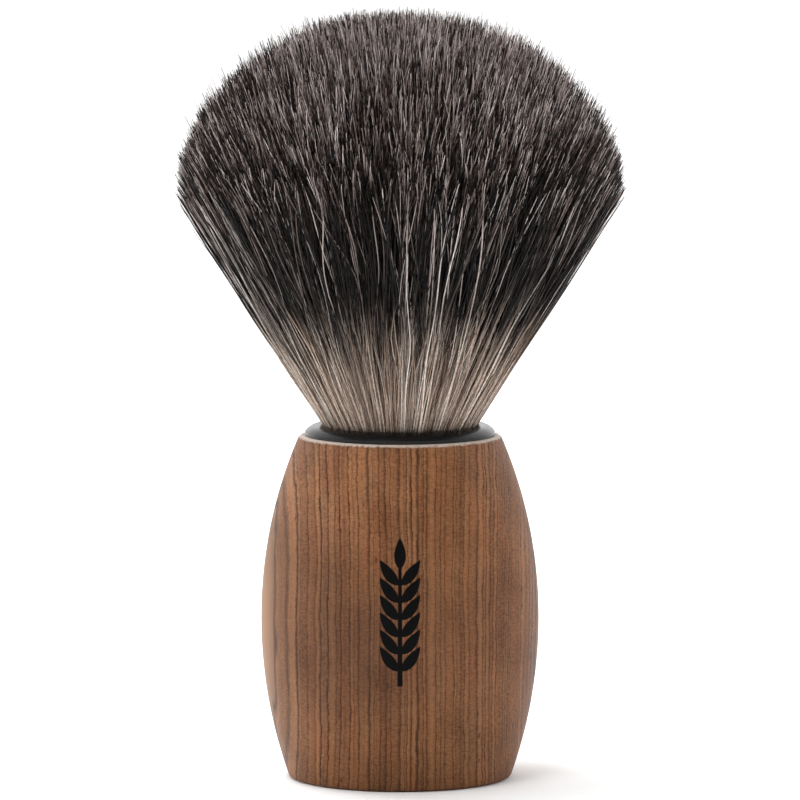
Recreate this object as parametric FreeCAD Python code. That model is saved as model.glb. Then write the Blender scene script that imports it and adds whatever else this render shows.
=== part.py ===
import FreeCAD, Part
import math
import os

from FreeCAD import Vector

# A shaving brush: a turned wooden barrel handle, a black plastic collar glued
# into its top, and a fan-shaped hair knot cast and tied inside the collar.
# All sizes are in millimetres. The origin is the centre of the base, +Z is up
# along the turning axis.

# ---- Handle ----
handle_height = 46.0
belly_radius = 18.6  # widest point of the barrel
belly_height = 21.4  # height of the widest point above the base
foot_radius = 14.85  # where the side meets the base, before rounding
rim_wall = 2.0  # wood left between the socket and the side at the top
base_edge_round = 0.7
top_edge_round = 0.75
pilot_radius = 3.0  # small blind hole below the socket, left by the turning centre
pilot_depth = 4.0
drill_point_angle = 118.0
socket_chamfer = 0.3

# ---- Collar ----
knot_diameter = 21.0  # inside of the collar, the nominal ring size
sleeve_wall = 0.8
sleeve_depth = 12.0
flange_width = 1.4  # how far the flange covers the wood outside the sleeve
flange_edge_height = 0.45
lip_height = 1.4  # top of the collar above the wood
lip_width = 0.25  # flat at the top of the collar, round the hair
bulge_across = 0.62  # the flange's swelling: share of the way out from lip to edge,
bulge_up = 0.72  # and share of the way up from edge to lip
glue_groove_count = 3
glue_groove_width = 1.2
glue_groove_depth = 0.3

# ---- Glue ----
glue_gap = 0.15  # between the sleeve and the socket wall
glue_bed = 0.5  # under the knot
glue_nub = 1.5  # how far the glue runs down the pilot hole

# ---- Resin, roots and thread ----
resin_wall = 1.2
resin_floor = 1.5
resin_height = 7.0
thread_diameter = 0.5
thread_turns = 6

# ---- Hair fan ----
fan_radius = 30.1  # at the shoulder, the widest point
shoulder_rise = 32.5  # shoulder above the top of the wood
crown_rise = 24.6  # top of the crown above the shoulder

# ---- Bending of the knot ----
pivot_rise = 3.5  # centre of the bend above the top of the wood
swing_margin = 2.5  # space between the rim of the wood and the turning waist
waist_length = 8.0  # radial depth of the waist, from base to fan
bend_clearance = 0.3  # between hair solids that turn past each other

# ---- Derived sizes, shared by the pieces that meet ----
knot_radius = knot_diameter / 2
sleeve_radius = knot_radius + sleeve_wall
socket_radius = sleeve_radius + glue_gap
mouth_radius = socket_radius + rim_wall
flange_radius = sleeve_radius + flange_width
sleeve_bottom = handle_height - sleeve_depth
socket_floor = sleeve_bottom - glue_bed
pilot_floor = socket_floor - pilot_depth
lip_top = handle_height + lip_height
root_radius = knot_radius - resin_wall
resin_top = sleeve_bottom + resin_height
root_bottom = sleeve_bottom + resin_floor
thread_top = resin_top + thread_diameter * thread_turns
shoulder_height = handle_height + shoulder_rise
overall_height = shoulder_height + crown_rise
pivot_height = handle_height + pivot_rise
base_dome_radius = mouth_radius + swing_margin
waist_dome_radius = base_dome_radius + bend_clearance + waist_length

AXIS_POINT = Vector(0, 0, 0)
AXIS_UP = Vector(0, 0, 1)
FULL_TURN = 360
QUARTER_WEIGHT = math.cos(math.radians(45))  # of a rational curve's middle pole


def at(radius, height):
    """A point of a profile, which lies in the XZ plane."""
    return Vector(radius, 0, height)


def line(start, end):
    return Part.LineSegment(start, end).toShape()


def polyline(points):
    return [line(a, b) for a, b in zip(points, points[1:])]


def revolve(edges):
    """The solid that a closed profile sweeps round the axis."""
    face = Part.Face(Part.Wire(edges))
    solid = face.revolve(AXIS_POINT, AXIS_UP, FULL_TURN)
    return Part.Solid(solid) if solid.ShapeType == "Shell" else solid


def tube(inner, outer, bottom, top):
    corners = [at(inner, bottom), at(outer, bottom), at(outer, top), at(inner, top)]
    return revolve(polyline(corners + corners[:1]))


def ball(radius):
    """A ball about the centre of the bend."""
    return Part.makeSphere(radius, at(0, pivot_height))


def side_arc(end_radius, end_height, belly_first):
    """Arc of the barrel's side, upright at the belly, to a narrower end."""
    inset = belly_radius - end_radius
    rise = end_height - belly_height
    arc_radius = (inset ** 2 + rise ** 2) / (2 * inset)
    half_rise = rise / 2
    half_inset = arc_radius - math.sqrt(arc_radius ** 2 - half_rise ** 2)
    belly = at(belly_radius, belly_height)
    middle = at(belly_radius - half_inset, belly_height + half_rise)
    end = at(end_radius, end_height)
    ends = (belly, end) if belly_first else (end, belly)
    return Part.Arc(ends[0], middle, ends[1]).toShape()


def rounded_edge(solid, height, radius):
    """Rounds the outermost circular edge that lies at a height."""
    level = [
        edge
        for edge in solid.Edges
        if abs(edge.BoundBox.ZMin - height) < 1e-6 and abs(edge.BoundBox.ZMax - height) < 1e-6
    ]
    outermost = max(level, key=lambda edge: edge.BoundBox.XMax)
    return solid.makeFillet(radius, [outermost])


def make_handle_body():
    barrel = revolve(
        [
            line(at(0, 0), at(foot_radius, 0)),
            side_arc(foot_radius, 0, belly_first=False),
            side_arc(mouth_radius, handle_height, belly_first=True),
            line(at(mouth_radius, handle_height), at(0, handle_height)),
            line(at(0, handle_height), at(0, 0)),
        ]
    )
    barrel = rounded_edge(barrel, 0, base_edge_round)
    barrel = rounded_edge(barrel, handle_height, min(top_edge_round, rim_wall / 2))
    point_depth = pilot_radius / math.tan(math.radians(drill_point_angle / 2))
    socket = revolve(
        polyline(
            [
                at(0, pilot_floor - point_depth),
                at(pilot_radius, pilot_floor),
                at(pilot_radius, socket_floor),
                at(socket_radius, socket_floor),
                at(socket_radius, handle_height - socket_chamfer),
                at(socket_radius + socket_chamfer, handle_height),
                at(0, handle_height),
                at(0, pilot_floor - point_depth),
            ]
        )
    )
    return barrel.cut(socket)


def make_glue_rings():
    """The space of each glue groove, out to the socket wall, spread along the sleeve."""
    pitch = sleeve_depth / (glue_groove_count + 1)
    rings = []
    for number in range(glue_groove_count):
        bottom = sleeve_bottom + pitch * (number + 1) - glue_groove_width / 2
        groove_floor = sleeve_radius - glue_groove_depth
        rings.append(tube(groove_floor, socket_radius, bottom, bottom + glue_groove_width))
    return rings


def make_collar_ring():
    lip_radius = knot_radius + lip_width
    lip_outer = at(lip_radius, lip_top)
    flange_shoulder = at(flange_radius, handle_height + flange_edge_height)
    bulge = at(
        lip_radius + (flange_radius - lip_radius) * bulge_across,
        handle_height + flange_edge_height + (lip_height - flange_edge_height) * bulge_up,
    )
    collar = revolve(
        [
            line(at(knot_radius, sleeve_bottom), at(sleeve_radius, sleeve_bottom)),
            line(at(sleeve_radius, sleeve_bottom), at(sleeve_radius, handle_height)),
            line(at(sleeve_radius, handle_height), at(flange_radius, handle_height)),
            line(at(flange_radius, handle_height), flange_shoulder),
            Part.Arc(flange_shoulder, bulge, lip_outer).toShape(),
            line(lip_outer, at(knot_radius, lip_top)),
            line(at(knot_radius, lip_top), at(knot_radius, sleeve_bottom)),
        ]
    )
    for ring in make_glue_rings():
        collar = collar.cut(ring)
    return collar


def make_sleeve_adhesive():
    return Part.Compound(make_glue_rings())


def make_seat_adhesive():
    bed = Part.makeCylinder(socket_radius, glue_bed, at(0, socket_floor), AXIS_UP)
    nub = Part.makeCylinder(pilot_radius, glue_nub, at(0, socket_floor - glue_nub), AXIS_UP)
    return bed.fuse(nub).removeSplitter()


def make_resin_plug():
    plug = Part.makeCylinder(knot_radius, resin_height, at(0, sleeve_bottom), AXIS_UP)
    roots = Part.makeCylinder(root_radius, resin_height, at(0, root_bottom), AXIS_UP)
    return plug.cut(roots)


def make_binding_thread():
    """Turns of thread laid side by side on the roots, just above the resin."""
    thread_radius = thread_diameter / 2
    turns = []
    for turn in range(thread_turns):
        height = resin_top + thread_diameter * (turn + 0.5)
        centre = at(0, height)
        turns.append(Part.makeTorus(root_radius + thread_radius, thread_radius, centre, AXIS_UP))
    return Part.Compound(turns)


def make_hair_outline():
    """The whole hair above the collar: a straight-sided fan under a domed crown."""
    shoulder = at(fan_radius, shoulder_height)
    crown = Part.BezierCurve()
    crown.setPoles([shoulder, at(fan_radius, overall_height), at(0, overall_height)])
    crown.setWeight(2, QUARTER_WEIGHT)
    return revolve(
        [
            line(at(0, lip_top), at(knot_radius, lip_top)),
            line(at(knot_radius, lip_top), shoulder),
            crown.toShape(),
            line(at(0, overall_height), at(0, lip_top)),
        ]
    )


def make_knot_base(hair):
    """Roots packed in the resin and the collar, up to the dome they bend over."""
    roots = revolve(
        polyline(
            [
                at(0, root_bottom),
                at(root_radius, root_bottom),
                at(root_radius, thread_top),
                at(knot_radius, (thread_top + lip_top) / 2),
                at(knot_radius, lip_top),
                at(0, lip_top),
                at(0, root_bottom),
            ]
        )
    )
    return roots.fuse(hair.common(ball(base_dome_radius))).removeSplitter()


def make_knot_waist(hair):
    return hair.common(ball(waist_dome_radius)).cut(ball(base_dome_radius + bend_clearance))


def make_knot_fan(hair):
    return hair.cut(ball(waist_dome_radius + bend_clearance))


def main():
    hair = make_hair_outline()
    pieces = {
        "handle_body": make_handle_body(),
        "collar_ring": make_collar_ring(),
        "sleeve_adhesive": make_sleeve_adhesive(),
        "seat_adhesive": make_seat_adhesive(),
        "resin_plug": make_resin_plug(),
        "binding_thread": make_binding_thread(),
        "knot_base": make_knot_base(hair),
        "knot_waist": make_knot_waist(hair),
        "knot_fan": make_knot_fan(hair),
    }
    os.makedirs("parts", exist_ok=True)
    for name, shape in pieces.items():
        shape.exportStep(os.path.join("parts", name + ".step"))
        print(name, "valid", shape.isValid(), "solids", len(shape.Solids), "mm3", round(shape.Volume))


main()
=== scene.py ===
import math

import bpy
import numpy as np
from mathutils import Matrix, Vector


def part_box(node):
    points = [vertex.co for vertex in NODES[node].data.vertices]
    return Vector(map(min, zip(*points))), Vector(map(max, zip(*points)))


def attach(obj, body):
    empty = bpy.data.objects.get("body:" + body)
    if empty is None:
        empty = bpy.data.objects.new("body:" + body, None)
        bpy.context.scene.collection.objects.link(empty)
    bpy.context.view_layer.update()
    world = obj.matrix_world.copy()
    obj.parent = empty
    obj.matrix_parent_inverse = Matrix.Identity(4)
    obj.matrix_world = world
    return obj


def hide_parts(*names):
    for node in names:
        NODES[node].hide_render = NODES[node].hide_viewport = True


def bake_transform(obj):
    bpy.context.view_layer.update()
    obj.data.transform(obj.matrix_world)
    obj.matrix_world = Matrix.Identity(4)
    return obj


# A shaving brush on a pale floor. The handle and collar are the CAD nodes with
# better materials; the hair knot is thousands of tapered strands that bend
# with the knot; a plain sprig is printed on the front of the handle.
# Everything is in metres, in the CAD frame: +Z up, -Y is the front.

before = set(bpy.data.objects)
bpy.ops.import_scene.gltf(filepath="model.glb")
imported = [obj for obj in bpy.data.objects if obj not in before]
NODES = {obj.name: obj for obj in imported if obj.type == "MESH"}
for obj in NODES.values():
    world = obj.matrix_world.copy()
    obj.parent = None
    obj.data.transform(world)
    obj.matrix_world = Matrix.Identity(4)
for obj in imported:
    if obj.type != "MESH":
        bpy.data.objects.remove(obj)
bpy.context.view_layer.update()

MM = 0.001
SEED = 21

# ---- Places read from the frame ----
LIP_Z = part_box("collar_ring")[1].z
HANDLE_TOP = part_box("handle_body")[1].z
KNOT_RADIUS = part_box("resin_plug")[1].x
FAN_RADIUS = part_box("knot_fan")[1].x
CROWN_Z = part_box("knot_fan")[1].z
CROWN_RISE = 24.6 * MM  # of the hair's domed top above its shoulder
SHOULDER_Z = CROWN_Z - CROWN_RISE

# ---- Camera: a long lens a little above the base, as for a product picture ----
CAMERA_DISTANCE = 1.020
CAMERA_HEIGHT = 0.158
AIM_HEIGHT = 0.05063
VIEW_WIDTH = 0.10688  # of the picture, at the object
SENSOR_WIDTH = 36.0  # mm
VIEW_DEPTH = 50  # how far the camera sees


def make_camera():
    data = bpy.data.cameras.new("camera")
    data.sensor_width = SENSOR_WIDTH
    eye = Vector((0, -CAMERA_DISTANCE, CAMERA_HEIGHT))
    aim = Vector((0, 0, AIM_HEIGHT))
    data.lens = SENSOR_WIDTH * (aim - eye).length / VIEW_WIDTH
    data.clip_end = VIEW_DEPTH
    camera = bpy.data.objects.new("camera", data)
    camera.location = eye
    camera.rotation_euler = (aim - eye).to_track_quat("-Z", "Y").to_euler()
    bpy.context.scene.collection.objects.link(camera)
    bpy.context.scene.camera = camera


# ---- Light: a white room, bright behind and dim in front, with soft boxes above and beside ----
BACK_GLOW = 1.95  # strength of the sky behind the object
FRONT_GLOW = 0.20  # and on the camera's side
GLOW_EDGES = (-0.30, 0.40)  # share of the way back between which it goes from dim to bright
HORIZON_GLOW = 1.0  # a pale band low down all round, so every view has a pale background
HORIZON_HEIGHTS = (0.06, 0.16)
SOFT_BOXES = [
    # name, place, width, height, watts
    ("key_box", (-0.24, -0.52, 0.90), 0.40, 0.35, 4.2),
    ("top_box", (-0.16, 0.10, 1.10), 0.40, 0.35, 11.5),
    ("left_box", (-0.85, -0.20, 0.35), 0.45, 0.80, 2.7),
    ("right_box", (0.90, -0.10, 0.25), 0.35, 0.80, 1.7),
]
LIGHT_AIM = Vector((0, 0, 0.055))


def make_world():
    world = bpy.data.worlds.new("white_room")
    world.use_nodes = True
    nodes, links = world.node_tree.nodes, world.node_tree.links
    split = nodes.new("ShaderNodeSeparateXYZ")
    links.new(nodes.new("ShaderNodeTexCoord").outputs["Generated"], split.inputs[0])

    def smooth(value, lowest, highest, start, end):
        made = nodes.new("ShaderNodeMapRange")
        made.interpolation_type = "SMOOTHSTEP"
        links.new(value, made.inputs["Value"])
        made.inputs["From Min"].default_value = lowest
        made.inputs["From Max"].default_value = highest
        for name, ending in (("To Min", start), ("To Max", end)):
            if isinstance(ending, bpy.types.NodeSocket):
                links.new(ending, made.inputs[name])
            else:
                made.inputs[name].default_value = ending
        return made.outputs["Result"]

    sky = smooth(split.outputs[1], *GLOW_EDGES, FRONT_GLOW, BACK_GLOW)
    strength = smooth(split.outputs[2], *HORIZON_HEIGHTS, HORIZON_GLOW, sky)
    background = nodes["Background"]
    background.inputs["Color"].default_value = (1, 1, 1, 1)
    links.new(strength, background.inputs["Strength"])
    bpy.context.scene.world = world


def make_lights():
    for name, place, width, height, watts in SOFT_BOXES:
        data = bpy.data.lights.new(name, "AREA")
        data.shape = "RECTANGLE"
        data.size = width
        data.size_y = height
        data.energy = watts
        light = bpy.data.objects.new(name, data)
        light.location = place
        light.rotation_euler = (LIGHT_AIM - Vector(place)).to_track_quat("-Z", "Y").to_euler()
        bpy.context.scene.collection.objects.link(light)
    view = bpy.context.scene.view_settings
    view.view_transform = "Standard"
    view.look = "None"


# ---- Node helpers ----
class Tree:
    """A new material whose nodes are added with short calls."""

    def __init__(self, name):
        self.material = bpy.data.materials.new(name)
        self.material.use_nodes = True
        self.nodes = self.material.node_tree.nodes
        self.links = self.material.node_tree.links
        self.shader = self.nodes["Principled BSDF"]

    def add(self, kind, *plugs, **settings):
        """Adds a node. plugs are (input, value or socket); settings are its attributes."""
        made = self.nodes.new("ShaderNode" + kind)
        for name, value in settings.items():
            setattr(made, name, value)
        for name, value in plugs:
            self.plug(made.inputs[name], value)
        return made

    def plug(self, target, value):
        if isinstance(value, bpy.types.NodeSocket):
            self.links.new(value, target)
        else:
            target.default_value = value

    def math(self, operation, *values):
        made = self.add("Math", operation=operation)
        for number, value in enumerate(values):
            self.plug(made.inputs[number], value)
        return made.outputs[0]

    def clamp(self, value):
        return self.math("MINIMUM", self.math("MAXIMUM", value, 0.0), 1.0)

    def spread(self, share, pair):
        """A share of 1 brought to a range: (value at 0, how much a share of 1 adds)."""
        value, more = pair
        return self.math("MULTIPLY_ADD", share, more, value)

    def mix(self, factor, a, b, blend_type="MIX"):
        made = self.add("Mix", data_type="RGBA", blend_type=blend_type)
        self.plug(made.inputs["Factor"], factor)
        self.plug(made.inputs[6], a)
        self.plug(made.inputs[7], b)
        return made.outputs[2]

    def ramp(self, factor, stops):
        """A colour ramp: stops are (position, colour or grey)."""
        made = self.add("ValToRGB", ("Fac", factor))
        elements = made.color_ramp.elements
        elements.remove(elements[1])
        elements[0].position, elements[0].color = stops[0][0], rgba(stops[0][1])
        for position, colour in stops[1:]:
            elements.new(position).color = rgba(colour)
        return made.outputs[0]

    def noise(self, vector, scale, detail=2.0, roughness=0.5):
        plugs = zip(("Vector", "Scale", "Detail", "Roughness"), (vector, scale, detail, roughness))
        return self.add("TexNoise", *plugs).outputs["Fac"]

    def stretched(self, vector, across_x, across_y, along):
        """The vector with each axis scaled, to draw a pattern out along Z."""
        scales = (across_x, across_y, along)
        return self.add("VectorMath", (0, vector), (1, scales), operation="MULTIPLY").outputs[0]

    def random(self, number):
        """Three repeatable random numbers for each whole number, as a colour's channels."""
        made = self.add("TexWhiteNoise", ("W", number), noise_dimensions="1D")
        split = self.add("SeparateColor", ("Color", made.outputs["Color"]))
        return split.outputs[0], split.outputs[1], split.outputs[2]

    def set_shader(self, **values):
        for name, value in values.items():
            self.plug(self.shader.inputs[name.replace("_", " ")], value)

    def bump(self, height, strength, distance):
        made = self.add("Bump", ("Strength", strength), ("Distance", distance), ("Height", height))
        self.plug(self.shader.inputs["Normal"], made.outputs[0])


def rgba(colour):
    if isinstance(colour, (int, float)):
        colour = (colour,) * 3
    return (*colour, 1.0)


# ---- Wood: nearly flat growth rings that run up the handle ----
# Places and sizes are in mm. A pattern is (waves for each mm across, and along, detail,
# roughness). A pair is (value at a share of 0, how much a share of 1 adds to it).
RINGS_PER_MM = 1.32  # growth lines at the middle of the handle
RING_CROWDING = 0.010  # times the square of x: lines are closer at the right, wider at the left
RING_SLANT = 0.05  # how far a ring moves across for each mm towards the front
RING_WAVES = {
    # how a ring's line waves: its pattern, and the size of the waves in all
    "wander": ((0.07, 0.035, 1.0), 1.2),
    "ripple": ((0.40, 0.12, 1.0), 0.50),
    "wobble": ((1.1, 0.55, 2.0), 0.30),
    "jitter": ((2.6, 1.7, 1.0), 0.26),
}
RING_UNEVENNESS = (0.55, 2.2)  # rings differ in width: waves for each mm, and their size
SAPWOOD_FROM = -14.2  # x, left of which the rings are wide and pale
SAPWOOD_EDGE = 0.25  # width of the change to sapwood
WIDE_RING_SHARE = 0.42  # how many rings that side has for one elsewhere
PALE_RING_X = -16.6  # where the last wide ring begins
FIRST_LINE_SHARPNESS = 4.5  # of the dark line where the sapwood begins, for each mm
FIRST_LINE_STRENGTH = 0.95
BORDER_SHARPNESS = 2.4  # of the dark line where the last wide ring begins, for each mm
BORDER_STRENGTH = 0.90
BORDER_RIPPLE = 1.6  # how much that line waves with the rings' ripple
SAP_PALENESS = (0.92, -0.68)  # of the last wide ring, and the change in the greyer one before it
GREY_SHARPNESS = 2.5  # of the change between them, for each mm
SAP_LINE_STRENGTH = (1.0, -0.35)  # of all lines elsewhere, and the change in sapwood
LATE_WOOD_START = 0.58  # share of a ring after which the thinnest lines darken
LATE_WOOD_SOONER = 0.36  # and how much sooner the widest do
LATE_WOOD_FULL = 0.86  # share of a ring where a line is darkest
LATE_WOOD_POWER = 2.0
LATE_WOOD_END = 5.5  # sharpness with which a line ends, for each ring
LINE_STRENGTH = (0.62, 0.48)
LINE_FADING = (0.42, 1.3)
LINE_FADES = (0.9, 0.07, 2.0)
BETWEEN_FROM = 0.36  # out of 0.5, which is the middle of such a line
BETWEEN_SHIFT = 0.4  # of half a ring, at random
BETWEEN_SHARPNESS = 7.0
BETWEEN_STRENGTH = 0.58
FIBRES = (6.0, 0.35, 3.0, 0.65)
BROAD_TONES = (0.22, 0.04, 2.0)
MOTTLE = (1.7, 4.4, 3.0, 0.7)  # a cross-grain mottle of short flecks
MOTTLE_ZONES = (0.14, 0.14, 1.0)
MOTTLE_STRENGTH = (0.4, 0.6)
REDDER_ZONES = (0.5, 0.03, 1.0)
RING_TONE = 0.22  # how much each of these four adds to the tone
BROAD_TONE = 0.30
FIBRE_TONE = 0.28
MOTTLE_TONE = 1.15
TONE_RANGE = [(0.55, 0.0), (1.0, 1.0)]
REDNESS = [(0.38, 0.0), (0.66, 0.6)]
WOOD_FIELD_DARK = (0.088, 0.0332, 0.0123)
WOOD_FIELD_LIGHT = (0.252, 0.1140, 0.0478)
WOOD_REDDER = (1.10, 0.92, 0.82)
WOOD_LINE = (0.030, 0.0092, 0.0034)
WOOD_SAP = (0.236, 0.124, 0.066)
HEARTWOOD_AND_PAINTED_LIGHT_PATCHES = [
    # parts of the front that are darker or paler: (x, z), half the size, tint. The first is darker
    # heartwood; the second is painted shade over the middle of the front, and the third a painted
    # highlight on its upper part, where more light falls.
    ((-9.0, 22.0), (7.5, 17.0), (0.78, 0.80, 0.86)),
    # painted shade over the middle of the front
    ((-1.0, 21.0), (18.0, 13.0), (0.78, 0.77, 0.78)),
    # painted highlight on the upper front
    ((-6.0, 38.5), (13.0, 9.0), (1.19, 1.22, 1.29)),
]
PATCH_REACH = 0.75  # how far a patch goes before its uneven edge
PATCH_UNEVENNESS = 0.8
PORES = (0.66, 0.66, 0.24)  # pores for each mm along x, y and z
PORE_EDGE = [(0.05, 1.0), (0.15, 0.0)]
PORE_ABSENT = 0.80  # share of the places that have none
PORE_STRENGTH = 0.7
# colour of the rim: pale raw wood, and partly a painted highlight
RIM_PALE_AND_HIGHLIGHT = (0.74, 0.66, 0.58)
RIM_HEIGHT = 0.10  # of the pale rim, before its ragged edge adds to it
RIM_RAGGED = 0.50
RIM_RAGGED_WAVES = 1.9
RIM_SHARPNESS = 3.5
RIM_STRENGTH = 0.75
WOOD_ROUGHNESS = (0.42, 0.20)
LINE_RELIEF = -0.6  # heights in the bump: lines are dents
FIBRE_RELIEF = 0.5
MOTTLE_RELIEF = 0.35


class TurnedWood(Tree):
    """Wood with growth rings, a fibrous and mottled field, sapwood, pores, tints that are partly
    painted shade and highlight, and a pale rim that is partly a painted highlight.
    """

    def __init__(self):
        super().__init__("turned_wood")
        place = self.add("TexCoord").outputs["Object"]
        self.mm = self.stretched(place, 1 / MM, 1 / MM, 1 / MM)
        self.x, self.y, self.z = self.add("SeparateXYZ", ("Vector", self.mm)).outputs
        self.fibre = self.pattern(*FIBRES)
        self.broad = self.pattern(*BROAD_TONES)
        self.mottle = self.pattern(*MOTTLE)
        self.count_rings()
        line = self.make_lines()
        colour = self.add_heartwood_and_painted_light(self.make_field())
        colour, line = self.add_sapwood(colour, line)
        colour = self.mix(line, colour, rgba(WOOD_LINE))
        pore = self.make_pores()
        colour = self.mix(self.math("MULTIPLY", pore, PORE_STRENGTH), colour, rgba(WOOD_LINE))
        colour = self.add_rim_and_painted_highlight(colour)

        rough = self.spread(self.fibre, WOOD_ROUGHNESS)
        self.set_shader(Base_Color=colour, Roughness=rough, Specular_IOR_Level=0.14)
        height = self.math("MULTIPLY", self.fibre, FIBRE_RELIEF)
        height = self.math("MULTIPLY_ADD", line, LINE_RELIEF, height)
        height = self.math("MULTIPLY_ADD", self.mottle, MOTTLE_RELIEF, height)
        height = self.math("SUBTRACT", height, pore)
        self.bump(height, strength=0.45, distance=0.08 * MM)

    def pattern(self, across, along, detail, roughness=0.5):
        """Noise with so many waves for each mm across the handle and along it."""
        return self.noise(self.stretched(self.mm, across, across, along), 1.0, detail, roughness)

    def count_rings(self):
        """Where each place is in its ring, and three random numbers for the ring."""
        across = self.math("MULTIPLY_ADD", self.y, RING_SLANT, self.x)
        self.waves = {}
        for name, (pattern, size) in RING_WAVES.items():
            self.waves[name] = self.math("SUBTRACT", self.pattern(*pattern), 0.5)
            across = self.math("MULTIPLY_ADD", self.waves[name], size, across)
        self.past_sap = self.math("SUBTRACT", across, SAPWOOD_FROM)
        sap = self.math("MINIMUM", self.past_sap, 0.0)
        self.sapwood = self.clamp(self.math("MULTIPLY", sap, -1 / SAPWOOD_EDGE))
        heart = self.math("MAXIMUM", across, SAPWOOD_FROM)
        across = self.math("MULTIPLY_ADD", sap, WIDE_RING_SHARE, heart)
        scale, size = RING_UNEVENNESS
        uneven = self.add(
            "TexNoise", ("W", across), ("Scale", scale), ("Detail", 1.0), noise_dimensions="1D"
        )
        across = self.math("MULTIPLY_ADD", uneven.outputs["Fac"], size, across)
        crowding = self.math("MULTIPLY", self.math("MULTIPLY", across, across), RING_CROWDING)
        self.rings = self.math("MULTIPLY_ADD", across, RINGS_PER_MM, crowding)
        ring = self.math("FLOOR", self.rings)
        self.share = self.math("SUBTRACT", self.rings, ring)
        self.ring_tint, self.ring_strength, self.ring_width = self.random(ring)

    def make_lines(self):
        """Late wood: darkens across the end of each ring, then ends more sharply."""
        sooner = self.math("MULTIPLY", self.ring_width, LATE_WOOD_SOONER)
        start = self.math("SUBTRACT", LATE_WOOD_START, sooner)
        reach = self.math("SUBTRACT", LATE_WOOD_FULL, start)
        rise = self.clamp(self.math("DIVIDE", self.math("SUBTRACT", self.share, start), reach))
        left = self.math("SUBTRACT", 1.0, self.share)
        fall = self.clamp(self.math("MULTIPLY", left, LATE_WOOD_END))
        line = self.math("MULTIPLY", self.math("POWER", rise, LATE_WOOD_POWER), fall)
        fade = self.pattern(*LINE_FADES)
        line = self.math("MULTIPLY", line, self.spread(self.ring_strength, LINE_STRENGTH))
        line = self.clamp(self.math("MULTIPLY", line, self.spread(fade, LINE_FADING)))

        # Fainter lines between them, where growth paused.
        halves = self.math("MULTIPLY", self.rings, 2.0)
        between = self.math("MULTIPLY_ADD", self.ring_tint, BETWEEN_SHIFT, halves)
        between = self.math("SUBTRACT", self.math("PINGPONG", between, 0.5), BETWEEN_FROM)
        between = self.clamp(self.math("MULTIPLY", between, BETWEEN_SHARPNESS))
        faint = self.math("MULTIPLY", fade, BETWEEN_STRENGTH)
        line = self.math("MAXIMUM", line, self.math("MULTIPLY", between, faint))
        return self.math("MULTIPLY", line, self.spread(self.sapwood, SAP_LINE_STRENGTH))

    def make_field(self):
        """The colour between the lines."""
        broad = self.math("MULTIPLY", self.broad, BROAD_TONE)
        tone = self.math("MULTIPLY_ADD", self.ring_tint, RING_TONE, broad)
        tone = self.math("MULTIPLY_ADD", self.fibre, FIBRE_TONE, tone)
        mottling = self.spread(self.pattern(*MOTTLE_ZONES), MOTTLE_STRENGTH)
        mottling = self.math("MULTIPLY", self.mottle, mottling)
        tone = self.math("MULTIPLY_ADD", mottling, MOTTLE_TONE, tone)
        tone = self.ramp(tone, TONE_RANGE)
        colour = self.mix(tone, rgba(WOOD_FIELD_DARK), rgba(WOOD_FIELD_LIGHT))
        redness = self.ramp(self.pattern(*REDDER_ZONES), REDNESS)
        return self.mix(redness, colour, rgba(WOOD_REDDER), "MULTIPLY")

    def add_heartwood_and_painted_light(self, colour):
        """Tints the darker and paler parts of the front: darker heartwood, painted shade over the
        middle and a painted highlight higher up.
        """
        front = self.math("LESS_THAN", self.y, 0.0)
        for centre, half_size, tint in HEARTWOOD_AND_PAINTED_LIGHT_PATCHES:
            squares = []
            for value, middle, half in zip((self.x, self.z), centre, half_size):
                offset = self.math("DIVIDE", self.math("SUBTRACT", value, middle), half)
                squares.append(self.math("POWER", offset, 2.0))
            inside = self.math("SUBTRACT", PATCH_REACH, self.math("ADD", *squares))
            inside = self.clamp(self.math("MULTIPLY_ADD", self.broad, PATCH_UNEVENNESS, inside))
            inside = self.math("MULTIPLY", inside, front)
            colour = self.mix(inside, colour, rgba(tint), "MULTIPLY")
        return colour

    def add_sapwood(self, colour, line):
        """The wide rings at the left are pale, with a dark line where each of them begins."""
        inside = self.math("SUBTRACT", self.x, PALE_RING_X)
        inside = self.math("MULTIPLY_ADD", self.waves["ripple"], BORDER_RIPPLE, inside)
        border = self.near_zero(inside, BORDER_SHARPNESS)
        border = self.math("MULTIPLY", border, self.math("MULTIPLY", self.sapwood, BORDER_STRENGTH))
        greyed = self.clamp(self.math("MULTIPLY", inside, GREY_SHARPNESS))
        paleness = self.math("MULTIPLY", self.sapwood, self.spread(greyed, SAP_PALENESS))
        colour = self.mix(paleness, colour, rgba(WOOD_SAP))
        first = self.near_zero(self.past_sap, FIRST_LINE_SHARPNESS)
        line = self.math("MAXIMUM", line, border)
        line = self.math("MAXIMUM", line, self.math("MULTIPLY", first, FIRST_LINE_STRENGTH))
        return colour, line

    def near_zero(self, distance, sharpness):
        """1 where a distance is nothing, falling to 0 on both sides."""
        away = self.math("MULTIPLY", self.math("ABSOLUTE", distance), sharpness)
        return self.clamp(self.math("SUBTRACT", 1.0, away))

    def make_pores(self):
        """1 inside the small dark pores, 0 elsewhere."""
        spots = self.stretched(self.mm, *PORES)
        pores = self.add("TexVoronoi", ("Vector", spots), ("Scale", 1.0), ("Randomness", 1.0))
        near = self.ramp(pores.outputs["Distance"], PORE_EDGE)
        chance = self.add("SeparateColor", ("Color", pores.outputs["Color"])).outputs[0]
        return self.math("MULTIPLY", near, self.math("GREATER_THAN", chance, PORE_ABSENT))

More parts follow.
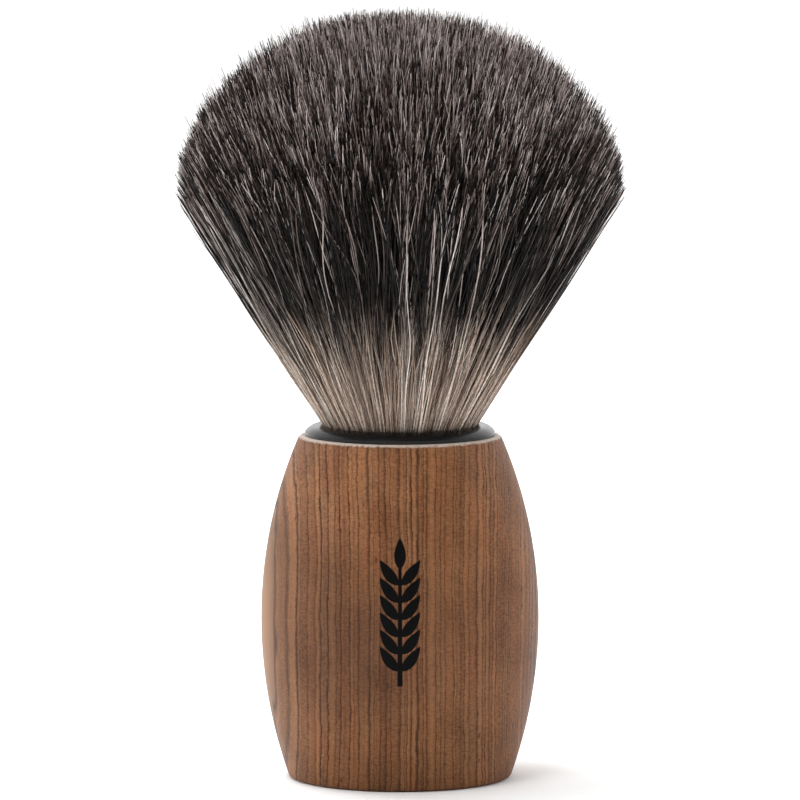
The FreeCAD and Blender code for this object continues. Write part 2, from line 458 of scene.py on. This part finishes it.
    def add_rim_and_painted_highlight(self, colour):
        """The rim at the top is pale: partly raw sanded wood and partly a painted highlight where
        its rounded edge catches light, with an uneven lower edge.
        """
        ragged = self.noise(self.mm, RIM_RAGGED_WAVES, 3.0)
        rim = self.math("MULTIPLY_ADD", ragged, RIM_RAGGED, self.z)
        rim = self.math("SUBTRACT", rim, HANDLE_TOP / MM - RIM_HEIGHT)
        rim = self.clamp(self.math("MULTIPLY", rim, RIM_SHARPNESS))
        return self.mix(self.math("MULTIPLY", rim, RIM_STRENGTH), colour, rgba(RIM_PALE_AND_HIGHLIGHT))


# ---- Plastic, glue, resin, thread and ink ----
PLIES_PER_RADIAN = 60.0  # of a turn of thread
PLY_SLOPE = 9000.0  # and for each metre up it


def make_collar_plastic():
    t = Tree("black_plastic")
    place = t.add("TexCoord").outputs["Object"]
    mould = t.noise(place, scale=900.0, detail=3.0)
    scuffs = t.noise(t.stretched(place, 300, 300, 2600), scale=1.0)
    colour = t.mix(scuffs, rgba(0.004), rgba(0.010))
    rough = t.spread(scuffs, (0.16, 0.16))
    t.set_shader(Base_Color=colour, Roughness=rough, Specular_IOR_Level=0.14)
    t.bump(mould, strength=0.12, distance=0.03 * MM)
    return t.material


def make_amber(name, dark, light, rough_from):
    """Glue or resin: cloudy, with small bubbles."""
    t = Tree(name)
    place = t.add("TexCoord").outputs["Object"]
    cloud = t.noise(place, scale=380.0, detail=3.0)
    bubbles = t.add("TexVoronoi", ("Vector", place), ("Scale", 1900.0)).outputs["Distance"]
    spots = t.ramp(bubbles, [(0.10, 0.4), (0.22, 0.0)])
    colour = t.mix(cloud, rgba(dark), rgba(light))
    colour = t.mix(spots, colour, rgba(0.9))
    t.set_shader(Base_Color=colour, Roughness=t.spread(cloud, (rough_from, 0.25)))
    t.bump(bubbles, strength=0.2, distance=0.05 * MM)
    return t.material


def make_thread():
    """Twisted thread: its plies slope round each turn."""
    t = Tree("waxed_thread")
    place = t.add("TexCoord").outputs["Object"]
    split = t.add("SeparateXYZ", ("Vector", place))
    turn = t.math("ARCTAN2", split.outputs[1], split.outputs[0])
    up = t.math("MULTIPLY", split.outputs[2], PLY_SLOPE)
    lay = t.math("MULTIPLY_ADD", turn, PLIES_PER_RADIAN, up)
    ply = t.spread(t.math("SINE", lay), (0.5, 0.5))
    colour = t.mix(ply, rgba((0.42, 0.36, 0.27)), rgba((0.74, 0.68, 0.56)))
    t.set_shader(Base_Color=colour, Roughness=0.75)
    t.bump(ply, strength=0.5, distance=0.06 * MM)
    return t.material


def make_ink():
    t = Tree("printed_ink")
    place = t.add("TexCoord").outputs["Object"]
    grain = t.noise(t.stretched(place, 2600, 2600, 500), scale=1.0, detail=3.0)
    colour = t.mix(grain, rgba(0.0008), rgba(0.003))
    rough = t.spread(grain, (0.45, 0.25))
    t.set_shader(Base_Color=colour, Roughness=rough, Specular_IOR_Level=0.05)
    t.bump(grain, strength=0.15, distance=0.02 * MM)
    return t.material


# ---- Hair material ----
HAIR_MAP = "OFBake"
HAIR_KINDS = 256  # columns of the hair's map, each a kind of hair with its own colours
# Colours at the root, in the middle and at the tip, from the darkest kind to the palest.
ROOT_COLOURS = [
    (0.0, (0.17, 0.115, 0.09)),
    (0.30, (0.44, 0.325, 0.255)),
    (0.65, (0.64, 0.515, 0.425)),
    (1.0, (0.80, 0.72, 0.65)),
]
MIDDLE_COLOURS = [
    (0.0, (0.003, 0.0025, 0.0025)),
    (0.56, (0.010, 0.0075, 0.007)),
    (0.76, (0.070, 0.054, 0.048)),
    (0.90, (0.26, 0.225, 0.205)),
    (1.0, (0.52, 0.485, 0.463)),
]
TIP_COLOURS = [
    (0.0, (0.005, 0.0035, 0.0035)),
    (0.42, (0.014, 0.009, 0.008)),
    (0.62, (0.068, 0.044, 0.038)),
    (0.80, (0.43, 0.335, 0.305)),
    (1.0, (0.95, 0.85, 0.82)),
]
# Where along the map the root's colour ends and the tip's begins, and how kinds differ there.
ROOT_END = [(0.20, 0.0), (0.52, 1.0)]
TIP_START = [(0.62, 0.0), (0.90, 1.0)]
ROOT_SHIFT = (-0.16, 0.32)
TIP_SHIFT = (-0.20, 0.20)
PALE_TIP_SOONER = 0.14
STREAKS = [(0.3, 0.60), (0.7, 1.0)]  # darker and paler stretches along a hair
STREAKS_ALONG = 14.0
STREAKS_APART = 7.3  # how far apart two kinds are in the same noise
HAIR_ROUGHNESS = (0.38, 0.15)


def make_hair_material():
    """Colours from the hair's own map: across is the kind of hair, up is along the hair."""
    t = Tree("badger_hair")
    uv = t.add("UVMap", uv_map=HAIR_MAP).outputs[0]
    split = t.add("SeparateXYZ", ("Vector", uv))
    kind = t.math("FLOOR", t.math("MULTIPLY", split.outputs[0], float(HAIR_KINDS)))
    tone = t.math("DIVIDE", kind, float(HAIR_KINDS))
    one, two, three = t.random(kind)
    along = split.outputs[1]
    root_end = t.math("ADD", along, t.spread(one, ROOT_SHIFT))
    tip_start = t.math("ADD", along, t.spread(two, TIP_SHIFT))
    tip_start = t.math("MULTIPLY_ADD", tone, PALE_TIP_SOONER, tip_start)

    root = t.ramp(tone, ROOT_COLOURS)
    middle = t.ramp(tone, MIDDLE_COLOURS)
    tip = t.ramp(tone, TIP_COLOURS)
    colour = t.mix(t.ramp(root_end, ROOT_END), root, middle)
    colour = t.mix(t.ramp(tip_start, TIP_START), colour, tip)
    apart = t.math("MULTIPLY", kind, STREAKS_APART)
    place_along = t.math("MULTIPLY_ADD", along, STREAKS_ALONG, apart)
    streak = t.add("TexNoise", ("W", place_along), noise_dimensions="1D")
    colour = t.mix(t.ramp(streak.outputs["Fac"], STREAKS), rgba(0.0), colour)
    rough = t.spread(three, HAIR_ROUGHNESS)
    t.set_shader(Base_Color=colour, Roughness=rough, Specular_IOR_Level=0.12)
    return t.material


# ---- Hair strands ----
# A share is a strand's distance from the axis at the lip, 1 for the outermost. A zone is
# (the share where an effect begins, how much further out it is full).
STRANDS = 15000
TOP_STRANDS = 12000  # more, seen only in the crown, that start inside the fan at TOP_FROM
TOP_STRANDS_WITHIN = 0.93  # share that they come from
STRAND_RADIUS = 0.080 * MM
STRAND_RADIUS_SPREAD = (0.62, 0.70)  # the least, as a share, and how much more
LIP_CLEARANCE = 1.5 * STRAND_RADIUS
SIDE_PLACES = (0.2, 0.8, 0.5)  # of a strand's corners across a column of the hair's map
STRAND_SIDES = len(SIDE_PLACES)
OUTER_FROM = 0.74  # share beyond which strands are finely divided
LOW_SECTORS = 3  # pieces round the axis below the split, and above it
HIGH_SECTORS = 8
LOW_DIVISIONS = {True: 6, False: 3}  # of a strand below the split, if it is an outer one or not
HIGH_DIVISIONS = {True: (3, 8), False: (1, 7)}  # from the split to TOP_FROM, and on to the tip
TOP_DIVISIONS = 6
ROOT_DEPTH = 2.2 * MM  # how far the strands start below the collar's lip
ROOT_GATHER = 0.97  # and how much closer to the axis
LOW_BEND = (LIP_Z, LIP_Z + 13.0 * MM)  # the waist turns over the base between these
HIGH_BEND = (LIP_Z + 13.5 * MM, LIP_Z + 38.0 * MM)  # and the fan over the waist
SPLIT_Z = (LOW_BEND[1] + HIGH_BEND[0]) / 2
TOP_FROM = LIP_Z + 22.0 * MM  # where the strands of the crown alone begin
FLANK_TILT = math.atan((FAN_RADIUS - KNOT_RADIUS) / (SHOULDER_Z - LIP_Z))
TILT_JITTER = math.radians(1.8)
LEAST_SLOPE = 0.05  # keeps a sideways lean small where a strand is nearly upright
EDGE_ZONE = (0.80, 0.12)
EDGE_STEADIER = 0.6  # how much less the strands of the edge lean in or out
EDGE_FLATTER = 0.7  # and bow
EDGE_SPILL = math.radians(0.8)  # how far a strand may lean out past the flank
STRAY_SHARE = 0.04  # of the outer strands, that stand off their neighbours
STRAY_TILT = math.radians(1.5)
TIP_WANDER = 1.7 * MM  # how far a tip turns away from the strand's line
TIP_POWER = 3.5  # the higher, the nearer to the tip it does so
INWARD_ZONE = (0.20, 0.40)  # where tips don't turn outward
WAVE_SIZE = 0.42 * MM  # how far a strand bows to either side of its line
WAVE_TURNS = (1.1, 2.6)  # half waves along its length: the least, and how many more
WAVE_GROWTH = 2.5  # the waves are full after 1 / this of the length
LENGTH_SPREAD = 0.006  # how much lengths differ, as a share
SHORT_SHARE = 0.10  # of the strands that are up to SHORT_BY shorter
SHORT_BY = 0.10
GROUPS = [
    # locks and clumps: how many, how far tips are drawn to the middle, weight of their tone
    (260, 0.13, 0.22),
    (2600, 0.50, 0.40),
]
PULL_SPREAD = (0.4, 0.6)  # the least of that pull, as a share, and how much more
PULL_DOWN = 0.3  # share of it that also moves a tip up or down
PULL_POWER = 1.7  # the pulls act mostly near the tips
GROUP_SHORTER = 0.028  # the most that a lock or clump is shorter than the rest, as a share
CROWN_DARKNESS = 0.50  # under 1 makes the hair of the crown lighter
FLANK_PAINTED_SHADE = 0.86  # painted shade: this is added towards the flanks, which take less light than the crown from above, so their strands take darker kinds
FLANK_ZONE = (0.30, 0.70)
FLANK_POWER = 1.3
SHELL_FROM = 0.965  # share beyond which strands are the outermost, and somewhat paler again
SHELL_PALER = 0.22
ROOT_ZONE = 12 * MM  # lengths of the pale root zone and of the tip zone
ROOT_ZONE_LEAST = 0.60  # of the root zone, as a share
ROOT_ZONE_OWN = 0.30  # how much more each strand has at random
ROOT_ZONE_GROUP = 0.35  # and its lock, and its clump
TIP_ZONE = 14 * MM
FLANK_TIP_CUT = 0.50  # share of the tip's colours that the outermost strands don't reach
TIP_CUT_ZONE = (0.75, 0.20)
ZONE_SHARE = 0.35  # of the map's height for the root zone, and for the tip zone
LEAST_MIDDLE = 1 * MM
TAPER_ZONE = (0.84, 0.16)  # share of the length where a strand tapers to its tip
TIP_THINNER = 0.60
FOOT_ZONE = 0.2  # share of the length over which it thickens from its foot
FOOT_THINNER = 0.20
NEWTON_STEPS = 4
CHUNKS = 40  # keeps the search for the nearest group small in memory
TINY = 1e-5  # keeps a direction across a strand when the strand is upright


def rise(value, start, over):
    """0 up to start, then rising evenly to 1."""
    return np.clip((value - start) / over, 0, 1)


class Strands:
    """Many strands of the knot, as rows of arrays: where each starts, leans and ends."""

    def __init__(self, rng, count, within):
        self.share = np.sqrt(rng.random(count)) * within
        self.turn = rng.random(count) * 2 * math.pi
        self.outward = np.stack([np.cos(self.turn), np.sin(self.turn), np.zeros(count)], 1)
        self.start = lip_points(self.share, self.turn)
        edge = rise(self.share, *EDGE_ZONE)
        lean = rng.normal(0, TILT_JITTER, count)
        sideways = rng.normal(0, TILT_JITTER, count)
        stray = (rng.random(count) < STRAY_SHARE) & (self.share > OUTER_FROM)
        lean = lean * (1 - EDGE_STEADIER * edge)
        lean = np.minimum(lean, (1 - self.share) * FLANK_TILT + EDGE_SPILL)
        lean = np.where(stray, np.abs(rng.normal(0, STRAY_TILT, count)), lean)
        lengths = 1 - np.abs(rng.normal(0, LENGTH_SPREAD, count))
        short = rng.random(count) < SHORT_SHARE
        lengths = np.where(short, lengths - rng.random(count) * SHORT_BY, lengths)
        tone = rng.random(count)
        root_zone = ROOT_ZONE_OWN * rng.random(count)
        drawn_to = []
        for groups, strength, weight in GROUPS:
            share = np.sqrt(rng.random(groups))
            turn = rng.random(groups) * 2 * math.pi
            zero = np.zeros(groups)
            centres = tips(share, turn, zero, zero, zero + 1)
            nearest = nearest_rows(self.start[:, :2], lip_points(share, turn)[:, :2])
            lengths -= (GROUP_SHORTER * rng.random(groups) ** 3)[nearest]
            tone += rng.random(groups)[nearest] * weight
            root_zone += ROOT_ZONE_GROUP * rng.random(groups)[nearest]
            strengths = strength * (PULL_SPREAD[0] + PULL_SPREAD[1] * rng.random(count))
            drawn_to.append((centres[nearest], strengths * ~stray))
        self.root_zone = ROOT_ZONE * (ROOT_ZONE_LEAST + root_zone)
        self.tip_reach = 1 - FLANK_TIP_CUT * rise(self.share, *TIP_CUT_ZONE)
        end = tips(self.share, self.turn, lean, sideways, lengths)
        pull = sum((centre - end) * strength[:, None] for centre, strength in drawn_to)
        self.pull = pull * (1, 1, PULL_DOWN)
        self.run = end - self.start
        self.length = np.linalg.norm(self.run, axis=1)
        least, more = STRAND_RADIUS_SPREAD
        self.radius = STRAND_RADIUS * (least + more * rng.random(count))
        self.kind = self.kinds(tone)
        self.roll = rng.random(count) * 2 * math.pi
        self.kink = self.inward(rng.normal(0, TIP_WANDER, (count, 3)) * (1, 1, 0))
        # Two waves across each strand, level so that they don't change its height.
        wave = rng.normal(0, WAVE_SIZE, (2, count, 3)) * (1, 1, 0)
        outward_part = (wave * self.outward).sum(2)[:, :, None]
        self.wave = wave - self.outward * outward_part * (EDGE_FLATTER * edge[:, None])
        self.phase = rng.random((2, count)) * 2 * math.pi
        self.pace = (WAVE_TURNS[0] + rng.random((2, count)) * WAVE_TURNS[1]) * math.pi

    def kinds(self, tone):
        """Which column of the hair's map each strand has, by the rank of its tone, darker towards
        the flanks as painted shade.
        """
        rank = (np.argsort(np.argsort(tone)) + 0.5) / len(tone)
        # Painted shade: strands towards the flanks take darker kinds, so the crown, lit from above,
        # looks paler.
        flank = rise(self.share, *FLANK_ZONE) ** FLANK_POWER
        darkness = CROWN_DARKNESS + FLANK_PAINTED_SHADE * flank
        darkness -= SHELL_PALER * (self.share > SHELL_FROM)
        return (rank ** darkness * HAIR_KINDS).astype(int)

    def inward(self, moves):
        """The same moves, without their outward share for all but the middle strands."""
        out = (moves * self.outward).sum(1)
        excess = np.maximum(out, 0) * rise(self.share, *INWARD_ZONE)
        return moves - self.outward * excess[:, None]

    def place(self, rows, along):
        """Points of the given strands at a share along each."""
        along = along[:, None]
        line = self.start[rows] + self.run[rows] * along + self.pull[rows] * along ** PULL_POWER
        line = line + self.kink[rows] * along ** TIP_POWER
        grow = np.clip(along * WAVE_GROWTH, 0, 1)
        for wave, phase, pace in zip(self.wave, self.phase, self.pace):
            swing = np.sin(phase[rows, None] + pace[rows, None] * along)
            line = line + wave[rows] * (swing * grow)
        return line

    def along_at(self, rows, height):
        """How far along each strand reaches a height."""
        along = (height - LIP_Z) / self.run[rows, 2]
        for _ in range(NEWTON_STEPS):
            error = self.place(rows, along)[:, 2] - height
            along = along - error / self.run[rows, 2]
        return np.clip(along, 0, 1)


def lip_points(share, turn):
    """Where strands pass the collar's lip."""
    radius = share * (KNOT_RADIUS - LIP_CLEARANCE)
    return np.stack([radius * np.cos(turn), radius * np.sin(turn), np.full(len(share), LIP_Z)], 1)


def tips(share, turn, lean, sideways, lengths):
    """Where straight rays from the lip meet the domed crown, at a share of that length."""
    start = lip_points(share, turn)
    tilt = FLANK_TILT * share + lean
    heading = turn + sideways / np.maximum(np.sin(np.abs(tilt)), LEAST_SLOPE)
    level = np.sin(tilt)
    ray = np.stack([level * np.cos(heading), level * np.sin(heading), np.cos(tilt)], 1)
    # The crown is half an ellipsoid: scaled to a unit ball, the far meeting is a root.
    scale = np.array([FAN_RADIUS, FAN_RADIUS, CROWN_RISE])
    p = (start - (0, 0, SHOULDER_Z)) / scale
    d = ray / scale
    a = (d * d).sum(1)
    b = (p * d).sum(1)
    c = (p * p).sum(1) - 1
    reach = (-b + np.sqrt(np.maximum(b * b - a * c, 0))) / a
    return start + ray * (reach * lengths)[:, None]


def nearest_rows(points, centres):
    """For each point, the row of the nearest centre."""
    found = []
    for chunk in np.array_split(points, CHUNKS):
        gaps = ((chunk[:, None, :] - centres[None, :, :]) ** 2).sum(2)
        found.append(gaps.argmin(1))
    return np.concatenate(found)


def thickness(along):
    """Radius along a strand, as a share: full in the middle, thinner at the foot and the tip."""
    taper = rise(along, *TAPER_ZONE)
    foot = rise(along, 0, FOOT_ZONE)
    return (1 - TIP_THINNER * taper ** 2) * (1 - FOOT_THINNER + FOOT_THINNER * foot)


def map_height(distance, length, root_zone, tip_reach):
    """Height in the hair's map of a point at a distance from the lip along a strand."""
    middle = np.maximum(length - root_zone - TIP_ZONE, LEAST_MIDDLE)
    root = rise(distance, 0, root_zone)
    between = rise(distance, root_zone, middle)
    tip = rise(distance, length - TIP_ZONE, TIP_ZONE) * tip_reach
    return ZONE_SHARE * (root + tip) + (1 - 2 * ZONE_SHARE) * between


def strand_rings(strands, rows, stations):
    """Corner points and map places of the rings at each station along some strands."""
    run = strands.run[rows] / strands.length[rows, None]
    across = np.cross(run, (0.0, 0.0, 1.0)) + (TINY, 0, 0)
    across /= np.linalg.norm(across, axis=1)[:, None]
    other = np.cross(run, across)
    points, places = [], []
    stations = [*stations, stations[0], stations[-1]]  # the ends have corners of their own
    kind, length = strands.kind[rows], strands.length[rows]
    root_zone, tip_reach = strands.root_zone[rows], strands.tip_reach[rows]
    for centre, along in stations:
        radius = strands.radius[rows] * thickness(along)
        height = map_height(along * length, length, root_zone, tip_reach)
        for side, column_place in enumerate(SIDE_PLACES):
            angle = strands.roll[rows] + side * 2 * math.pi / STRAND_SIDES
            offset = across * np.cos(angle)[:, None] + other * np.sin(angle)[:, None]
            points.append(centre + offset * radius[:, None])
            places.append(np.stack([(kind + column_place) / HAIR_KINDS, height], 1))
    # One row of corners for each strand, ring by ring.
    return np.stack(points, 1), np.stack(places, 1)


def ring_faces(ring_count):
    """Quads between the rings of one strand, and a triangle over each end's own ring."""
    quads = []
    for ring in range(ring_count - 1):
        for side in range(STRAND_SIDES):
            beside = (side + 1) % STRAND_SIDES
            low, high = ring * STRAND_SIDES, (ring + 1) * STRAND_SIDES
            quads.append((low + side, low + beside, high + beside, high + side))
    foot, top = ring_count * STRAND_SIDES, (ring_count + 1) * STRAND_SIDES
    return quads, [(foot + 2, foot + 1, foot), (top, top + 1, top + 2)]


def low_stations(strands, rows, divisions):
    """From inside the collar up to the split, finely enough to bend."""
    zero = np.zeros(len(rows))
    root = strands.start[rows] * (ROOT_GATHER, ROOT_GATHER, 1) - (0, 0, ROOT_DEPTH)
    found = [(root, zero), (strands.start[rows], zero)]
    for height in np.linspace(LIP_Z, SPLIT_Z, divisions + 1)[1:]:
        along = strands.along_at(rows, height)
        found.append((strands.place(rows, along), along))
    return found


def high_stations(strands, rows, bend_divisions, tip_divisions):
    """From the split up to the tip, finely enough to bend."""
    found = []
    for height in np.linspace(SPLIT_Z, TOP_FROM, bend_divisions + 1)[:-1]:
        along = strands.along_at(rows, height)
        found.append((strands.place(rows, along), along))
    return found + top_stations(strands, rows, tip_divisions)


def top_stations(strands, rows, tip_divisions):
    """From TOP_FROM up to the tip, in steps that shorten so that the tip tapers smoothly."""
    first = strands.along_at(rows, TOP_FROM)
    found = []
    for share in np.linspace(0, 1, tip_divisions + 1):
        along = first + (1 - first) * math.sin(share * math.pi / 2)
        found.append((strands.place(rows, along), along))
    return found


def make_strand_piece(name, batches, material):
    """One mesh of many strands. batches are (strands, rows, stations along them)."""
    corners, places, loops, totals = [], [], [], []
    used = 0
    for strands, rows, stations in batches:
        points, uv = strand_rings(strands, rows, stations)
        per_strand = points.shape[1]
        first = used + np.arange(len(rows)) * per_strand
        for faces in ring_faces(len(stations)):
            faces = np.array(faces)
            loops.append((first[:, None, None] + faces[None]).reshape(-1))
            totals.append(np.full(len(rows) * len(faces), faces.shape[1]))
        corners.append(points.reshape(-1, 3))
        places.append(uv.reshape(-1, 2))
        used += len(rows) * per_strand
    corners, places = np.concatenate(corners), np.concatenate(places)
    loops, totals = np.concatenate(loops), np.concatenate(totals)

    mesh = bpy.data.meshes.new(name)
    mesh.vertices.add(len(corners))
    mesh.vertices.foreach_set("co", corners.astype(np.float32).ravel())
    mesh.loops.add(len(loops))
    mesh.loops.foreach_set("vertex_index", loops.astype(np.int32))
    mesh.polygons.add(len(totals))
    mesh.polygons.foreach_set("loop_start", (np.cumsum(totals) - totals).astype(np.int32))
    mesh.polygons.foreach_set("use_smooth", np.ones(len(totals), bool))
    layer = mesh.uv_layers.new(name=HAIR_MAP)
    layer.data.foreach_set("uv", places[loops].astype(np.float32).ravel())
    mesh.update(calc_edges=True)
    mesh.materials.append(material)
    piece = bpy.data.objects.new(name, mesh)
    bpy.context.scene.collection.objects.link(piece)
    return piece


def in_sector(strands, number, sectors, *conditions):
    """Rows of the strands in one sector round the axis."""
    chosen = (strands.turn / (2 * math.pi) * sectors).astype(int) % sectors == number
    for condition in conditions:
        chosen = chosen & condition
    return np.flatnonzero(chosen)


def make_hair():
    rng = np.random.default_rng(SEED)
    strands = Strands(rng, STRANDS, 1.0)
    extra = Strands(rng, TOP_STRANDS, TOP_STRANDS_WITHIN)
    outer = strands.share > OUTER_FROM
    material = make_hair_material()
    for number in range(LOW_SECTORS):
        batches = []
        for is_outer, divisions in LOW_DIVISIONS.items():
            rows = in_sector(strands, number, LOW_SECTORS, outer == is_outer)
            batches.append((strands, rows, low_stations(strands, rows, divisions)))
        piece = make_strand_piece(f"hair_low_{number + 1}", batches, material)
        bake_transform(piece)
        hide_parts("knot_base", "knot_waist")
    for number in range(HIGH_SECTORS):
        batches = []
        for is_outer, divisions in HIGH_DIVISIONS.items():
            rows = in_sector(strands, number, HIGH_SECTORS, outer == is_outer)
            batches.append((strands, rows, high_stations(strands, rows, *divisions)))
        rows = in_sector(extra, number, HIGH_SECTORS)
        batches.append((extra, rows, top_stations(extra, rows, TOP_DIVISIONS)))
        piece = make_strand_piece(f"hair_high_{number + 1}", batches, material)
        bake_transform(piece)
        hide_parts("knot_fan")


# ---- Printed mark: a plain sprig ----
MARK_CENTRE = 24.4 * MM
MARK_HEIGHT = 19.6 * MM
LEAF_PAIRS = 6
LEAF_LENGTH = 4.1 * MM
LEAF_WIDTH = 1.45 * MM
LEAF_ANGLE = math.radians(46)
LEAF_CURL = math.radians(16)  # how much a leaf turns upwards along its length
LEAF_ROWS = 12
LEAF_COLUMNS = 4
LEAF_SKEW = 0.8  # under 1 puts the widest place nearer the foot
LEAF_FULLNESS = 0.85  # under 1 makes its outline rounder
LEAF_POINT = 0.02  # width of its two ends, as a share
TIP_LEAF_WIDER = 1.05
STEM_WIDTH = 0.55 * MM
STEM_ROWS = 25
STEM_FOOT = 1.25  # its width at the foot, as a share
STEM_NARROWER = 0.6  # and how much less it is after the mark's whole height
STEM_INTO_LEAF = 0.1  # share of the top leaf's length that the stem runs into it
FIRST_PAIR_UP = 0.5  # leaf lengths from the foot to the lowest pair
NEXT_PAIR_DOWN = 0.05  # leaf lengths from the stem's top down to where one more pair would be
PAIR_INSET = 0.35  # stem widths from the middle line to a leaf's foot
INK_ABOVE = 0.03 * MM
INK_BELOW = 0.02 * MM


def on_handle(x, z, above):
    """The point of the handle's front at x and z, a little above its surface."""
    handle = NODES["handle_body"]
    hit, place, normal, _ = handle.ray_cast(Vector((x, -1, z)), Vector((0, 1, 0)))
    if not hit:
        raise ValueError("the mark runs off the handle")
    return place + normal * above


def add_ink(verts, faces, rows):
    """A thin closed sheet of ink over rows of (x, z) points, all rows equally long."""
    tall, wide = len(rows), len(rows[0])
    first = len(verts)
    for above in (INK_ABOVE, -INK_BELOW):
        verts.extend(on_handle(x, z, above) for row in rows for x, z in row)
    bottom = first + tall * wide

    def corner(layer, i, j):
        return layer + i * wide + j

    for i in range(tall - 1):
        for j in range(wide - 1):
            square = [(i, j), (i, j + 1), (i + 1, j + 1), (i + 1, j)]
            faces.append([corner(first, *c) for c in square])
            faces.append([corner(bottom, *c) for c in reversed(square)])
    rim = [(0, j) for j in range(wide)]
    rim += [(i, wide - 1) for i in range(1, tall)]
    rim += [(tall - 1, j) for j in range(wide - 2, -1, -1)]
    rim += [(i, 0) for i in range(tall - 2, 0, -1)]
    for a, b in zip(rim, rim[1:] + rim[:1]):
        faces.append([corner(first, *b), corner(first, *a), corner(bottom, *a), corner(bottom, *b)])


def leaf_rows(x, z, angle, curl, width):
    """A pointed leaf from (x, z): rows across it, one after another along its curled rib."""
    rows = []
    step_length = LEAF_LENGTH / LEAF_ROWS
    for step in range(LEAF_ROWS + 1):
        along = step / LEAF_ROWS
        outline = math.sin(math.pi * along ** LEAF_SKEW) ** LEAF_FULLNESS
        half = width / 2 * max(outline, LEAF_POINT)
        heading = angle + curl * along
        side_x, side_z = -math.sin(heading) * half, math.cos(heading) * half
        columns = np.linspace(-1, 1, LEAF_COLUMNS + 1)
        rows.append([(x + side_x * column, z + side_z * column) for column in columns])
        x += math.cos(heading) * step_length
        z += math.sin(heading) * step_length
    return rows


def make_mark():
    verts, faces = [], []
    foot = MARK_CENTRE - MARK_HEIGHT / 2
    tip_leaf_foot = foot + MARK_HEIGHT - LEAF_LENGTH
    stem_top = tip_leaf_foot + LEAF_LENGTH * STEM_INTO_LEAF
    stem = []
    for height in np.linspace(foot, stem_top, STEM_ROWS):
        half = STEM_WIDTH / 2 * (STEM_FOOT - STEM_NARROWER * (height - foot) / MARK_HEIGHT)
        stem.append([(-half, height), (half, height)])
    add_ink(verts, faces, stem)
    add_ink(verts, faces, leaf_rows(0, tip_leaf_foot, math.pi / 2, 0, LEAF_WIDTH * TIP_LEAF_WIDER))
    lowest = foot + LEAF_LENGTH * FIRST_PAIR_UP
    pitch = (stem_top - LEAF_LENGTH * NEXT_PAIR_DOWN - lowest) / LEAF_PAIRS
    for pair in range(LEAF_PAIRS):
        for side in (1, -1):
            angle = LEAF_ANGLE if side > 0 else math.pi - LEAF_ANGLE
            x = side * STEM_WIDTH * PAIR_INSET
            rows = leaf_rows(x, lowest + pitch * pair, angle, side * LEAF_CURL, LEAF_WIDTH)
            add_ink(verts, faces, rows)
    mesh = bpy.data.meshes.new("printed_sprig")
    mesh.from_pydata(verts, [], faces)
    mesh.materials.append(make_ink())
    mark = bpy.data.objects.new("printed_sprig", mesh)
    bpy.context.scene.collection.objects.link(mark)
    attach(mark, "handle")


# ---- Floor and the nodes that stay ----
FLOOR_SIZE = 16
FLOOR_DROP = 0.05 * MM  # below the foot, so that the two faces don't share a plane


def make_floor():
    bpy.ops.mesh.primitive_plane_add(size=FLOOR_SIZE, location=(0, 0, -FLOOR_DROP))
    floor = bpy.context.object
    floor.name = "floor"
    t = Tree("pale_floor")
    t.set_shader(Base_Color=rgba(0.90), Roughness=0.9, Specular_IOR_Level=0.1)
    floor.data.materials.append(t.material)


def dress_nodes():
    """Gives the CAD nodes that stay their detailed materials."""
    glue = make_amber(
        "clear_glue", dark=(0.50, 0.42, 0.25), light=(0.70, 0.62, 0.42), rough_from=0.35
    )
    resin = make_amber(
        "cast_resin", dark=(0.32, 0.18, 0.06), light=(0.62, 0.42, 0.18), rough_from=0.15
    )
    materials = {
        "handle_body": TurnedWood().material,
        "collar_ring": make_collar_plastic(),
        "sleeve_adhesive": glue,
        "seat_adhesive": glue,
        "resin_plug": resin,
        "binding_thread": make_thread(),
    }
    for name, material in materials.items():
        NODES[name].data.materials.clear()
        NODES[name].data.materials.append(material)


make_camera()
make_world()
make_lights()
make_floor()
dress_nodes()
make_mark()
make_hair()
